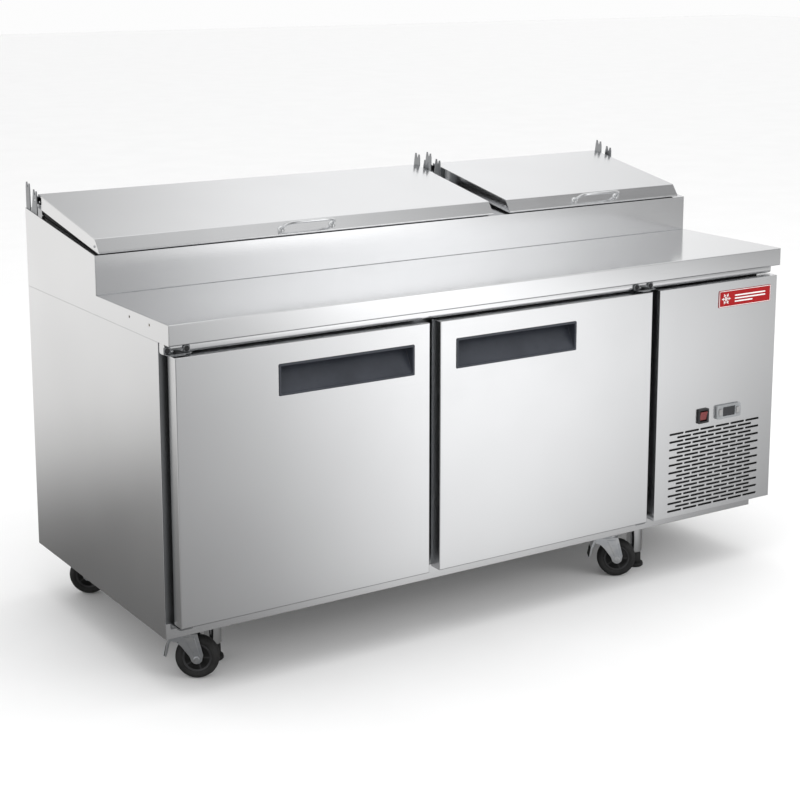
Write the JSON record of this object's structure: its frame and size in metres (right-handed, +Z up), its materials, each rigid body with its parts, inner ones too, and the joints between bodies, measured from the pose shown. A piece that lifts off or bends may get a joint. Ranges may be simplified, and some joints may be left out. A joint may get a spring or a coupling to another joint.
{
  "type": "refrigerated prep table",
  "caption": "Stainless refrigerated prep table with a deep worktop, lidded raised food rail, solid doors, side compressor bay and casters.",
  "frame": {"origin": "middle of the footprint, on the floor", "axes": "+X along the worktop towards the compressor bay, +Y from the front to the back, +Z up"},
  "size_m": [1.8, 0.84, 1.0796],
  "materials": {
    "stainless": "satin",
    "frame_steel": "satin",
    "pan_steel": "satin",
    "foam": "matte",
    "door_liner": "satin",
    "liner_aluminium": "satin",
    "zinc": "satin",
    "chrome": "polished",
    "copper": "satin",
    "badge_red": "gloss",
    "rocker_red": "gloss",
    "bezel_grey": "satin",
    "cup_plastic": "satin",
    "key_plastic": "satin",
    "black_plastic": "satin",
    "black_paint": "satin",
    "black_rubber": "matte",
    "wheel_rubber": "satin"
  },
  "bodies": {
    "cabinet": {"outer_shell": "stainless", "foam_core": "foam", "inner_liner": "liner_aluminium", "front_frame": "frame_steel", "worktop": "stainless", "worktop_core": "foam", "rail_hood": "stainless", "pan_frame": "frame_steel", "machine_bay_frame": "frame_steel", "front_cover": "stainless", "badge": "badge_red", "switch_housing": "black_plastic", "controller_housing": "bezel_grey", "cord_gland": "black_plastic", "compressor": "black_paint", "condenser_coil": "liner_aluminium", "condenser_fan_shroud": "zinc", "refrigerant_line": "copper", "evaporator_housing": "liner_aluminium", "end_panel_left": "stainless", "food_pans_left": "pan_steel", "shelf_left": "chrome", "end_panel_right": "stainless", "food_pans_right": "pan_steel", "shelf_right": "chrome", "corner_mount_front_left": "zinc", "corner_mount_front_right": "zinc", "corner_mount_back_left": "zinc", "corner_mount_back_right": "zinc"},
    "door_left": {"door_skin_left": "stainless", "door_core_left": "door_liner", "door_gasket_left": "black_rubber", "handle_cup_left": "cup_plastic"},
    "lid_left": {"lid_left": "stainless", "lid_handle_left": "chrome"},
    "key_left": {"controller_key_left": "key_plastic"},
    "door_right": {"door_skin_right": "stainless", "door_core_right": "door_liner", "door_gasket_right": "black_rubber", "handle_cup_right": "cup_plastic"},
    "lid_right": {"lid_right": "stainless", "lid_handle_right": "chrome"},
    "key_right": {"controller_key_right": "key_plastic"},
    "swivel_front_left": {"caster_fork_front_left": "zinc"},
    "wheel_front_left": {"caster_wheel_front_left": "wheel_rubber"},
    "foot_front_left": {"leg_foot_front_left": "black_rubber"},
    "pedal_front_left": {"brake_pedal_front_left": "black_plastic"},
    "swivel_front_right": {"caster_fork_front_right": "zinc"},
    "wheel_front_right": {"caster_wheel_front_right": "wheel_rubber"},
    "foot_front_right": {"leg_foot_front_right": "black_rubber"},
    "pedal_front_right": {"brake_pedal_front_right": "black_plastic"},
    "swivel_back_left": {"caster_fork_back_left": "zinc"},
    "wheel_back_left": {"caster_wheel_back_left": "wheel_rubber"},
    "foot_back_left": {"leg_foot_back_left": "black_rubber"},
    "swivel_back_right": {"caster_fork_back_right": "zinc"},
    "wheel_back_right": {"caster_wheel_back_right": "wheel_rubber"},
    "foot_back_right": {"leg_foot_back_right": "black_rubber"},
    "rocker": {"power_rocker": "rocker_red"},
    "condenser_fan": {"condenser_fan_blade": "liner_aluminium"},
    "evaporator_fan": {"evaporator_fan_blade": "black_plastic"}
  },
  "joints": [
    {"name": "door_left_hinge", "type": "hinge", "parent": "cabinet", "child": "door_left", "pos_m": [-0.871, -0.39, 0.476], "axis": [0, 0, -1], "range_deg": [0, 100]},
    {"name": "door_right_hinge", "type": "hinge", "parent": "cabinet", "child": "door_right", "pos_m": [0.439, -0.39, 0.476], "axis": [0, 0, 1], "range_deg": [0, 100]},
    {"name": "lid_left_hinge", "type": "hinge", "parent": "cabinet", "child": "lid_left", "pos_m": [-0.334, 0.348, 1.034], "axis": [-1, 0, 0], "range_deg": [0, 105]},
    {"name": "lid_right_hinge", "type": "hinge", "parent": "cabinet", "child": "lid_right", "pos_m": [0.575, 0.348, 1.034], "axis": [-1, 0, 0], "range_deg": [0, 105]},
    {"name": "caster_front_left_swivel", "type": "hinge", "parent": "cabinet", "child": "swivel_front_left", "pos_m": [-0.821, -0.288, 0.12], "axis": [0, 0, 1], "continuous": true},
    {"name": "caster_front_left_roll", "type": "hinge", "parent": "swivel_front_left", "child": "wheel_front_left", "pos_m": [-0.79744, -0.30313, 0.051], "axis": [0.5402, 0.8415, 0], "continuous": true},
    {"name": "caster_front_left_brake", "type": "hinge", "parent": "swivel_front_left", "child": "pedal_front_left", "pos_m": [-0.84204, -0.27449, 0.101], "axis": [-0.5402, -0.8415, 0], "range_deg": [0, 14]},
    {"name": "leg_front_left_adjust", "type": "slide", "parent": "cabinet", "child": "foot_front_left", "axis": [0, 0, 1], "range_m": [0, 0.015]},
    {"name": "caster_front_right_swivel", "type": "hinge", "parent": "cabinet", "child": "swivel_front_right", "pos_m": [0.409, -0.3, 0.12], "axis": [0, 0, 1], "continuous": true},
    {"name": "caster_front_right_roll", "type": "hinge", "parent": "swivel_front_right", "child": "wheel_front_right", "pos_m": [0.43256, -0.31513, 0.051], "axis": [0.5402, 0.8415, 0], "continuous": true},
    {"name": "caster_front_right_brake", "type": "hinge", "parent": "swivel_front_right", "child": "pedal_front_right", "pos_m": [0.38796, -0.28649, 0.101], "axis": [-0.5402, -0.8415, 0], "range_deg": [0, 14]},
    {"name": "leg_front_right_adjust", "type": "slide", "parent": "cabinet", "child": "foot_front_right", "axis": [0, 0, 1], "range_m": [0, 0.015]},
    {"name": "caster_back_left_swivel", "type": "hinge", "parent": "cabinet", "child": "swivel_back_left", "pos_m": [-0.821, 0.342, 0.12], "axis": [0, 0, 1], "continuous": true},
    {"name": "caster_back_left_roll", "type": "hinge", "parent": "swivel_back_left", "child": "wheel_back_left", "pos_m": [-0.79744, 0.32687, 0.051], "axis": [0.5402, 0.8415, 0], "continuous": true},
    {"name": "leg_back_left_adjust", "type": "slide", "parent": "cabinet", "child": "foot_back_left", "axis": [0, 0, 1], "range_m": [0, 0.015]},
    {"name": "caster_back_right_swivel", "type": "hinge", "parent": "cabinet", "child": "swivel_back_right", "pos_m": [0.409, 0.342, 0.12], "axis": [0, 0, 1], "continuous": true},
    {"name": "caster_back_right_roll", "type": "hinge", "parent": "swivel_back_right", "child": "wheel_back_right", "pos_m": [0.43256, 0.32687, 0.051], "axis": [0.5402, 0.8415, 0], "continuous": true},
    {"name": "leg_back_right_adjust", "type": "slide", "parent": "cabinet", "child": "foot_back_right", "axis": [0, 0, 1], "range_m": [0, 0.015]},
    {"name": "rocker_tilt", "type": "hinge", "parent": "cabinet", "child": "rocker", "pos_m": [0.6375, -0.409, 0.4305], "axis": [-1, 0, 0], "range_deg": [0, 20]},
    {"name": "key_left_press", "type": "slide", "parent": "cabinet", "child": "key_left", "axis": [0, 1, 0], "range_m": [0, 0.001], "stiffness_N_per_m": 300},
    {"name": "key_right_press", "type": "slide", "parent": "cabinet", "child": "key_right", "axis": [0, 1, 0], "range_m": [0, 0.001], "stiffness_N_per_m": 300},
    {"name": "condenser_fan_spin", "type": "hinge", "parent": "cabinet", "child": "condenser_fan", "pos_m": [0.68, -0.213, 0.295], "axis": [0, 1, 0], "continuous": true},
    {"name": "evaporator_fan_spin", "type": "hinge", "parent": "cabinet", "child": "evaporator_fan", "pos_m": [0.358, 0.085, 0.65], "axis": [1, 0, 0], "continuous": true}
  ]
}
